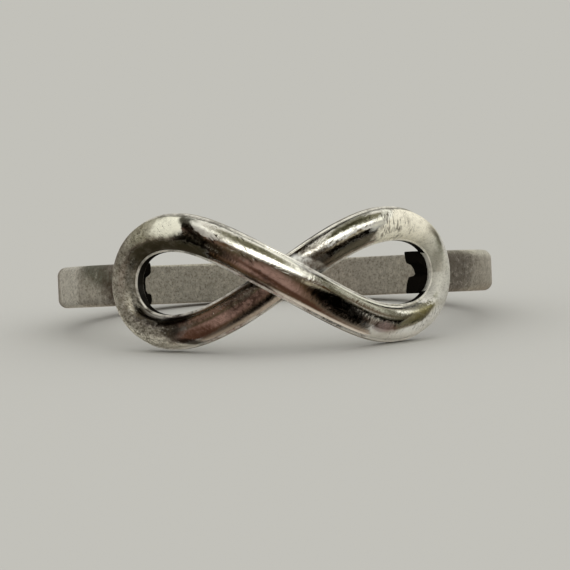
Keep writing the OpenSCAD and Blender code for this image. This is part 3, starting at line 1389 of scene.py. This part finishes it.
# The strand: bright along its runs, and satin on the outer ends of the loops. A later tint lies
# over the earlier ones.
# Most of its tints are painted highlights, painted reflections and painted shade
STRAND_SILVER = WornSilver(
    "worn_polished_silver", rim=0.8, wiped=36.0,
    satin_patches=(RUBBED_END, CREAM, Patch((9.2, -1.2), (3.3, 2.8), blur=0.3, ragged=0.25)),
    smooth=(Patch((5.0, 2.2), (1.4, 1.6), blur=0.3, ragged=0.3),
            Patch((-4.9, 2.4), (1.0, 0.6), blur=0.4), Patch((7.9, 0.3), (2.4, 3.6), blur=0.3)),
    pitted=(Patch((-6.2, -2.1), (1.4, 0.8), lean=-40, blur=0.4, ragged=0.8),),
    stains=(Patch((-1.55, -0.75), (1.05, 0.75), lean=30, blur=0.45, ragged=1.3),
            Patch((1.25, 0.75), (0.7, 0.7), lean=30, blur=0.4, ragged=1.3)),
    scratches=(Scratches(28, 0.9, 16, 0.01, 0.62, 3.0), Scratches(-28, 1.0, 18, 0.01, 0.62, 17.0),
               Scratches(75, 1.3, 15, 0.01, 0.55, 29.0),
               Scratches(-60, 1.2, 20, 0.008, 0.52, 41.0)),
    cuts=(Scratches(88, 0.7, 7, 0.055, 0.6, 7.0, Patch((4.7, 2.2), (0.75, 1.0), ragged=0.4)),
          Scratches(83, 0.8, 9, 0.045, 0.55, 61.0, Patch((4.9, 2.2), (0.9, 1.0), ragged=0.4)),
          Scratches(-50, 0.9, 8, 0.045, 0.58, 37.0,
                    Patch((-2.4, 1.75), (2.1, 0.6), lean=-32, ragged=0.5)),
          Scratches(45, 0.9, 8, 0.045, 0.58, 53.0,
                    Patch((2.8, 1.8), (1.5, 0.6), lean=32, ragged=0.5)),
          Scratches(50, 1.0, 9, 0.035, 0.75, 19.0, Patch((1.5, 1.1), (0.9, 0.8), ragged=0.6)),
          Scratches(70, 1.0, 10, 0.018, 0.75, 11.0, Patch((6.0, -2.2), (2.0, 1.0), ragged=0.6)),
          Scratches(-50, 1.2, 11, 0.016, 0.75, 23.0, Patch((-6.0, 0.0), (2.5, 3.5), ragged=0.6))),
    tints=(
        # The satin ends of the loops
        Tint(Patch((8.2, -0.3), (3.0, 3.2), blur=0.3, ragged=0.25), (0.46, 0.45, 0.36), 0.85,
             0.35),
        Tint(RUBBED_END, (0.44, 0.41, 0.335), 0.6, 0.8),
        Tint(Patch((-7.1, 1.6), (1.1, 0.9), blur=0.5), (0.24, 0.23, 0.18), 0.45, 0.3),
        # Painted reflection: the pale outer flank of the right loop's end
        Tint(Patch((7.2, -1.2), (3.9, 2.9), blur=0.2, ragged=0.2,
                   cut=Patch((4.6, 0.35), (2.8, 2.8), blur=0.03, ragged=0.05)),
             (0.8, 0.79, 0.735), 0.88, 0.95),
        Tint(Strip(False, (5.9, 8.0), (-1.2, -0.05), blur=0.2), (0.82, 0.8, 0.68), 0.88, 0.9),
        # Painted shade: a dark line along the crest of the right loop's end
        Tint(Patch((4.6, 0.35), (2.85, 2.8), blur=0.03, ragged=0.06,
                   within=Patch((7.0, -0.6), (2.6, 2.3), blur=0.3),
                   cut=Patch((4.6, 0.35), (2.6, 2.5), blur=0.05, ragged=0.1)),
             (0.13, 0.13, 0.075), 0.8, 0.4),
        # Painted glint at the right end of the right eye
        Tint(Strip(True, (6.4, 8.0), (-1.3, -0.5), blur=0.06, ragged=0.8), (0.95, 0.93, 0.84),
             0.95, 1.0),
        # Lower run of the left loop
        # Painted dark reflection along the eye
        Tint(Strip(False, (-6.8, -4.0), (-1.3, -0.35), blur=0.2), (0.03, 0.023, 0.016), 0.97),
        # Painted pale light along the outer edge
        Tint(Strip(False, (-7.8, -4.9), (0.2, 1.2), blur=0.25), (0.74, 0.7, 0.585), 0.9, 1.0),
        Tint(Strip(False, (-5.1, -3.6), (0.65, 1.2)), (0.7, 0.66, 0.55), 0.9, 1.0),
        Tint(Strip(False, (-3.9, -1.8), (0.5, 1.1), blur=0.2), (0.15, 0.12, 0.1), 0.4),
        # Painted dark reflection: a black crescent
        Tint(Patch((-4.85, -2.0), (0.5, 0.42), lean=-35, blur=0.4, ragged=0.7),
             (0.03, 0.022, 0.015), 0.97),
        # Upper run of the left loop: the pale spot, the dark band and the notch between
        # Painted dark reflection by the eye
        Tint(Patch((-5.1, 1.7), (0.9, 0.4), lean=15, blur=0.5, ragged=0.6), (0.045, 0.038, 0.022),
             0.7),
        # The pale spot: a painted highlight with a painted sheen round it
        Tint(Patch((-5.5, 2.3), (1.2, 0.8), lean=15, blur=0.5, ragged=0.4), (0.55, 0.53, 0.37),
             0.75, 0.6),
        Tint(Patch((-4.75, 2.46), (1.0, 0.52), lean=10, blur=0.45, ragged=0.7,
                   cut=Patch((-3.2, 2.5), (0.92, 2.5), blur=0.06, ragged=0.45)),
             (0.98, 0.96, 0.79), 0.98, 0.9),
        # The dark band and the notch: painted dark reflection
        Tint(Strip(True, (-6.9, -2.9), (-1.3, -0.28), blur=0.2), (0.04, 0.033, 0.018), 1.0, 0.9),
        Tint(Strip(True, (-4.5, -3.0), (-0.5, 0.0), blur=0.14, ragged=0.5), (0.03, 0.027, 0.015),
             0.97),
        Tint(Patch((-3.75, 2.38), (0.8, 0.27), lean=-42, blur=0.3, ragged=0.8),
             (0.03, 0.027, 0.016), 0.95),
        # Upper run of the right loop, and the line round its end
        # Painted sheen on the worn flat
        Tint(Patch((5.2, 2.2), (1.6, 1.5), blur=0.35, ragged=0.3, within=CREAM), (1.0, 0.95, 0.78),
             0.98, 1.0),
        # Painted dark reflections along the run
        Tint(Strip(False, (1.3, 3.8), (-0.95, -0.15), blur=0.25, ragged=0.6), (0.07, 0.058, 0.02),
             0.9, 0.3),
        Tint(Strip(False, (2.0, 3.7), (0.5, 0.9), ragged=0.4), (0.14, 0.135, 0.08), 0.93),
        # Painted highlight and glint
        Tint(Strip(False, (1.7, 4.1), (0.16, 0.4), blur=0.08, ragged=0.5), (0.95, 0.95, 0.9), 0.8,
             0.6),
        Tint(Patch((4.35, 2.42), (0.85, 0.2), lean=40, blur=0.35, ragged=0.9), (0.97, 0.96, 0.84),
             0.9, 0.6),
        # The line round its end: painted shade
        Tint(Patch((5.0, 0.3), (3.2, 2.9), blur=0.03, ragged=0.08,
                   within=Patch((7.9, 1.2), (1.6, 2.2), blur=0.3),
                   cut=Patch((5.0, 0.3), (3.0, 2.7), blur=0.05, ragged=0.1)),
             (0.3, 0.3, 0.24), 0.6),
        # Streaks along the over strand and at the crossing
        # Painted dark reflection between the rim and the highlight
        Tint(Strip(True, (-2.6, -0.6), (0.42, 0.72), blur=0.1, ragged=0.5), (0.26, 0.25, 0.17),
             0.5),
        # Painted start and end of the over strand's highlight
        Tint(Patch((-3.15, 2.14), (0.75, 0.17), lean=-34, blur=0.25, ragged=1.3),
             (0.97, 0.96, 0.88), 0.85, 0.4),
        Tint(Patch((1.15, 0.42), (0.95, 0.3), lean=-27, blur=0.35, ragged=0.6), (1.0, 1.0, 0.93),
             0.97, 1.0),
        # End and lower run of the right loop
        Tint(Patch((7.3, -0.1), (0.8, 0.9), blur=0.6), (0.6, 0.585, 0.5), 0.7, 0.7),
        Tint(Patch((7.3, -1.1), (0.6, 0.5), blur=0.5), (0.5, 0.49, 0.43), 0.55, 0.3),
        # Painted reflection: the pale flank along the outer edge
        Tint(Strip(True, (3.4, 6.3), (0.5, 1.1), blur=0.2), (0.88, 0.86, 0.79), 0.8, 0.95),
        Tint(Patch((5.55, -1.97), (1.3, 0.2), lean=22, blur=0.7, ragged=0.5), (0.24, 0.2, 0.05),
             0.75, 0.5),
        # About the crossing and on the lower runs: painted black reflections, and a brownish smear
        # Painted black reflection right of the crossing
        Tint(Patch((2.0, -1.27), (1.35, 0.28), lean=-34, blur=0.35, ragged=0.6),
             (0.012, 0.01, 0.007), 0.9),
        Tint(Patch((1.5, 0.62), (0.55, 0.4), blur=0.4, ragged=1.3), (0.2, 0.165, 0.115), 0.75,
             0.3),
        # Painted black reflection: a line low on the left loop
        Tint(Patch((-4.1, -2.6), (0.65, 0.13), lean=-10, blur=0.5, ragged=0.7),
             (0.03, 0.022, 0.015), 0.9),
        # Shade along the outer edge of both upper runs
        Tint(Strip(True, (-8.3, -0.7), (0.84, 1.4), blur=0.06, ragged=0.12), (0.09, 0.085, 0.065),
             0.93, 0.8),
        Tint(Strip(False, (0.9, 7.4), (0.82, 1.4), blur=0.06, ragged=0.12), (0.09, 0.085, 0.065),
             0.93, 0.8),
        # A painted reddish reflection on the lower run of the right loop
        Tint(Patch((4.1, -2.3), (0.5, 0.25), lean=-10, blur=0.5, ragged=1.0), (0.3, 0.16, 0.15),
             0.7, 0.3)))

# The shank: satin all over, brushed across, and dark beside the loops with stains and painted shade
SHANK_SILVER = WornSilver(
    "brushed_silver", bright=(0.60, 0.575, 0.50), satin=(0.49, 0.462, 0.39), bright_rough=0.3,
    satin_rough=0.42, film=0.6, satin_all_over=0.7, tarnish_start=0.14, tarnish_full=0.5,
    brushed=True,
    stains=(Patch((-8.2, 0.1), (1.15, 1.3), blur=0.4, ragged=0.9),
            Patch((8.0, 0.3), (0.8, 1.4), blur=0.5, ragged=1.0)),
    # The shank's ends in the eyes: black, tarnish and painted shade
    tarnished_and_shaded=(Patch((0.0, 0.0), (7.7, 3.0), blur=0.04, ragged=0.05),),
    scratches=(Scratches(88, 0.6, 12, 0.012, 0.6, 5.0), Scratches(-35, 0.7, 14, 0.01, 0.55, 13.0),
               Scratches(4, 0.5, 14, 0.01, 0.55, 31.0)),
    # Painted shade beside the left loop
    tints=(Tint(Patch((-9.6, 0.55), (1.6, 0.5), lean=-25, blur=0.6, ragged=0.9), (0.13, 0.14, 0.1),
                0.8),
           # Painted light: paler towards the far left end
           Tint(Patch((-12.3, 0.0), (1.6, 3.0), blur=0.3, ragged=0.4), (0.76, 0.74, 0.65), 0.7,
                0.8),
           # Painted shade beside the right loop
           Tint(Patch((9.0, 0.2), (1.3, 1.5), blur=0.4, ragged=0.6), (0.19, 0.17, 0.145), 0.85)))


# ---------------------------------------------------------------- table, light and camera


@dataclass(frozen=True)
class MainView:
    """The photograph's view of the upright ring: how far the ring is turned from square to it."""

    yaw: float = math.radians(2.5)
    roll: float = math.radians(-2.46)
    pitch: float = math.radians(-0.2)
    distance: float = 170*MM
    near: float = 5*MM
    far: float = 10.0
    sensor_mm: float = 36.0
    picture: float = 570.0
    pixels_per_mm: float = 21.87
    axis_px: Pair = (274.9, 279.1)

    def turn(self) -> Matrix:
        """Turns the upright ring as the camera sees it, which looks along +Y."""
        return (Matrix.Rotation(self.roll, 4, "Y") @ Matrix.Rotation(self.pitch, 4, "X")
                @ Matrix.Rotation(self.yaw, 4, "Z"))

    def offset(self) -> Vector:
        """How far the finger's axis is from the middle of the picture.

        Returns:
            The offset in metres, with X to the right and Z up.
        """
        right = (self.axis_px[0] - self.picture/2)/self.pixels_per_mm
        up = (self.picture/2 - self.axis_px[1])/self.pixels_per_mm
        return Vector((right, 0, up))*MM

    def camera(self, pose: RestPose) -> bpy.types.Object:
        """Places the camera.

        Args:
            pose: Where the ring lies.

        Returns:
            The camera.
        """
        data = bpy.data.cameras.new("main_view")
        data.sensor_width = self.sensor_mm
        data.lens = self.pixels_per_mm*self.distance/MM/self.picture*data.sensor_width
        data.clip_start, data.clip_end = self.near, self.far
        camera = bpy.data.objects.new("main_view", data)
        bpy.context.collection.objects.link(camera)
        stand = Matrix.Translation(Vector((0, -self.distance, 0)) - self.offset())
        look = Matrix.Rotation(math.pi/2, 4, "X")
        camera.matrix_world = pose.matrix() @ self.turn().inverted() @ stand @ look
        bpy.context.scene.camera = camera
        return camera


@dataclass(frozen=True)
class Panel:
    """A soft area of light or shade round the ring.

    Angles are in degrees: up counts from the main view over the top to the back, and
    side towards the right.
    """

    up: float
    side: float
    up_reach: float
    side_reach: float
    colour: Colour
    blur: float
    lean: float


@dataclass(frozen=True)
class Studio:
    """The soft light that the silver mirrors, and the plain light that the table gets.

    A later panel lies over the earlier ones, and all of them over the gloom of the room.
    """

    table_light: Colour = (1.0, 0.995, 0.98)
    gloom: Colour = (0.07, 0.04, 0.02)
    panels: tuple[Panel, ...] = (
        Panel(0, -88, 110, 22, (0.48, 0.45, 0.38), 0.40, 0),
        Panel(10, 90, 90, 24, (0.62, 0.60, 0.52), 0.40, 0),
        Panel(96, 10, 84, 34, (1.10, 1.09, 0.98), 0.26, 6),
        Panel(106, 1, 22, 30, (0.77, 0.75, 0.68), 0.05, 22),
        Panel(82, 9, 33, 21, (0.22, 0.21, 0.14), 0.30, 8),
        Panel(128, 35, 40, 10, (0.56, 0.57, 0.47), 0.50, -36),
        Panel(93, -37, 79, 8, (0.009, 0.004, 0.000), 0.17, 25),
        Panel(58, -54, 95, 9, (0.16, 0.10, 0.074), 0.49, 1),
        Panel(11, -20, 24, 73, (0.054, 0.037, 0.021), 0.49, -15),
        Panel(-32, -25, 48, 30, (0.27, 0.17, 0.14), 0.47, 21),
        Panel(-64, -20, 68, 13, (0.065, 0.031, 0.019), 0.48, -31),
        Panel(-138, -6, 31, 16, (0.55, 0.49, 0.42), 0.50, -30),
        Panel(-120, 25, 66, 21, (0.33, 0.27, 0.21), 0.50, 1),
        Panel(-58, 86, 80, 18, (0.45, 0.41, 0.36), 0.50, 35),
        Panel(-12, 54, 100, 24, (0.003, 0.002, 0.001), 0.22, 25),
        Panel(23, 43, 19, 8, (0.37, 0.33, 0.24), 0.50, 43),
        Panel(54, 3, 12, 29, (2.60, 2.60, 2.40), 0.50, 0),
        Panel(0, -62, 144, 8, (0.016, 0.011, 0.006), 0.50, 2),
        Panel(-98, -65, 100, 10, (0.005, 0.003, 0.001), 0.50, -32),
        Panel(86, 53, 48, 8, (0.099, 0.093, 0.060), 0.42, -23),
        Panel(30, -31, 8, 20, (0.096, 0.077, 0.047), 0.50, -40),
        Panel(84, 37, 26, 5, (1.40, 1.40, 1.25), 0.21, -6),
    )

    def build(self, view: MainView, pose: RestPose) -> None:
        """Makes the world's light.

        Args:
            view: The main view, which the panels are set square to.
            pose: Where the ring lies.
        """
        world = bpy.data.worlds.new("studio")
        bpy.context.scene.world = world
        world.use_nodes = True
        world.cycles.sampling_method = "NONE"
        world.node_tree.nodes.clear()
        graph = Graph(world.node_tree)
        square = (view.turn() @ pose.matrix().inverted()).to_euler()
        looked_at = graph.node("ShaderNodeTexCoord").outputs["Generated"]
        x, y, z = graph.parts(graph.node("ShaderNodeMapping", {
            "Vector": looked_at, "Rotation": square}, vector_type="VECTOR").outputs[0])
        up = graph.math("ARCTAN2", z, graph.times(y, -1.0))
        side = graph.math("ARCSINE", x)
        place = graph.join(*(graph.times(angle, math.degrees(1)) for angle in (up, side)))
        mirrored = self.gloom
        for panel in self.panels:
            local = graph.node("ShaderNodeMapping", {
                "Vector": place, "Location": (panel.up, panel.side, 0),
                "Rotation": (0, 0, math.radians(panel.lean)),
                "Scale": (panel.up_reach, panel.side_reach, 1)}, vector_type="TEXTURE").outputs[0]
            inside = graph.ramp(graph.length(local), 1 + panel.blur, 1 - panel.blur)
            mirrored = graph.mix(inside, mirrored, panel.colour)
        plain, seen = (graph.node("ShaderNodeBackground", {"Color": colour, "Strength": 1.0})
                       for colour in (opaque(self.table_light), mirrored))
        glossy = graph.node("ShaderNodeLightPath").outputs["Is Glossy Ray"]
        light = graph.node("ShaderNodeMixShader", {
            0: glossy, 1: plain.outputs[0], 2: seen.outputs[0]}).outputs[0]
        graph.node("ShaderNodeOutputWorld", {"Surface": light})


@dataclass(frozen=True)
class Table:
    """The plain pale surface that the ring lies on."""

    size: float = 4.0
    colour: Colour = (0.54, 0.535, 0.50)
    rough: float = 0.9

    def build(self) -> bpy.types.Object:
        """Makes the table top.

        Returns:
            The table top.
        """
        deselect()
        bpy.ops.mesh.primitive_plane_add(size=self.size)
        top = bpy.context.object
        top.name = "table_top"
        material = bpy.data.materials.new("pale_table")
        material.use_nodes = True
        shader = material.node_tree.nodes["Principled BSDF"]
        shader.inputs["Base Color"].default_value = opaque(self.colour)
        shader.inputs["Roughness"].default_value = self.rough
        shader.inputs["Specular IOR Level"].default_value = 0.0
        top.data.materials.append(material)
        top.visible_glossy = False
        return top


POSE = RestPose.from_record(frame["record"])


def main() -> None:
    """Builds the ring, the table, the light and the camera."""
    logging.basicConfig(level=logging.INFO, format="%(name)s: %(message)s", force=True)
    bpy.context.scene.view_settings.view_transform = "Standard"

    ring = InfinityRing(POSE).build()
    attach(ring, BODY)
    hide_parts(NODE)
    log.info("ring: %d faces", len(ring.data.polygons))

    Table().build()
    view = MainView()
    view.camera(POSE)
    Studio().build(view, POSE)
    log.info("table, light and camera are in place")


if __name__ == "__main__":
    main()
